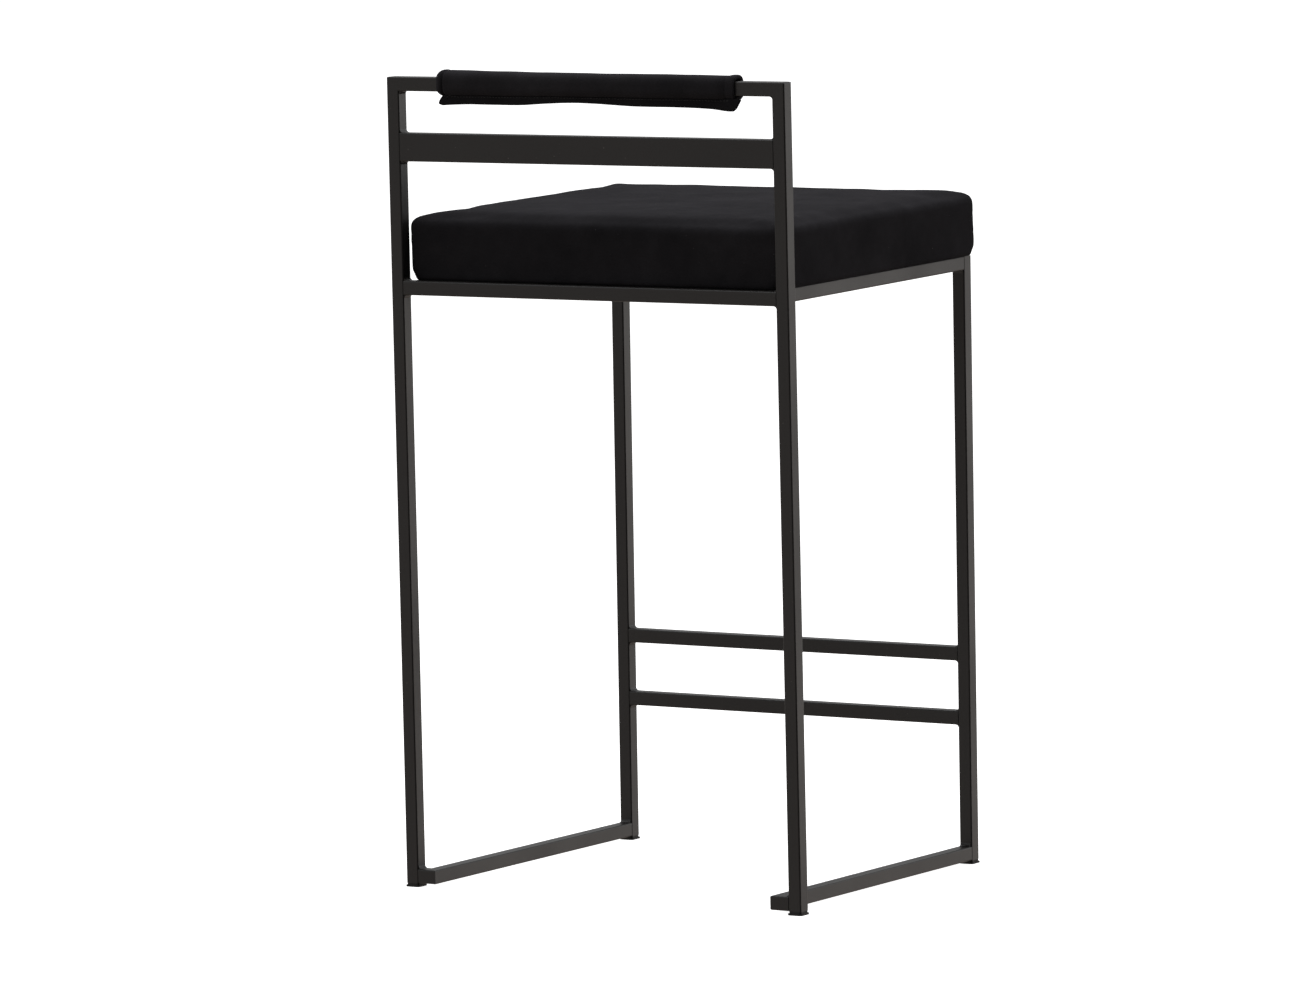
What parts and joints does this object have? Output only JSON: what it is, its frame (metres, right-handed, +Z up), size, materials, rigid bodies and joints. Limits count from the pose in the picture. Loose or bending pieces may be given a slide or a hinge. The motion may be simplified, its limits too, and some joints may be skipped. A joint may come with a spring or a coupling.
{
  "type": "bar stool",
  "caption": "Tall square-tube stool with a low open back, padded top bar, box seat cushion and a footrest of two parallel bars.",
  "frame": {"origin": "on the floor, at the middle of the whole stool's plan", "axes": "+Z up, the front faces -Y, the sitter's right is -X"},
  "size_m": [0.4944, 0.4143, 0.8665],
  "materials": {
    "frame_steel": "satin powder coat",
    "glide_plastic": "moulded matte",
    "zinc_steel": "zinc plated",
    "plywood": "raw",
    "foam": "open cell foam",
    "velvet": "short pile velvet",
    "lining": "non-woven"
  },
  "bodies": {
    "root": {"back_post_left": "frame_steel", "back_post_right": "frame_steel", "top_bar": "frame_steel", "back_slat": "frame_steel", "seat_rail_back": "frame_steel", "seat_rail_front": "frame_steel", "seat_rail_left": "frame_steel", "seat_rail_right": "frame_steel", "front_leg_left": "frame_steel", "front_leg_right": "frame_steel", "footrest_bar_upper": "frame_steel", "footrest_bar_lower": "frame_steel", "floor_rail_left": "frame_steel", "floor_rail_right": "frame_steel", "floor_stub_left": "frame_steel", "floor_stub_right": "frame_steel", "back_welds": "frame_steel", "front_welds": "frame_steel", "seat_welds": "frame_steel", "floor_welds": "frame_steel", "glide_back_left": "glide_plastic", "glide_back_right": "glide_plastic", "glide_front_left": "glide_plastic", "glide_front_right": "glide_plastic", "seat_tabs": "frame_steel", "seat_screws": "zinc_steel", "seat_washers": "zinc_steel", "tee_nuts": "zinc_steel", "seat_board": "plywood", "seat_foam": "foam", "seat_cover": "velvet", "seat_dust_cover": "lining", "seat_staples": "zinc_steel", "back_sleeve_foam": "foam", "back_sleeve_cover": "velvet", "back_sleeve_hem": "velvet"}
  },
  "joints": []
}
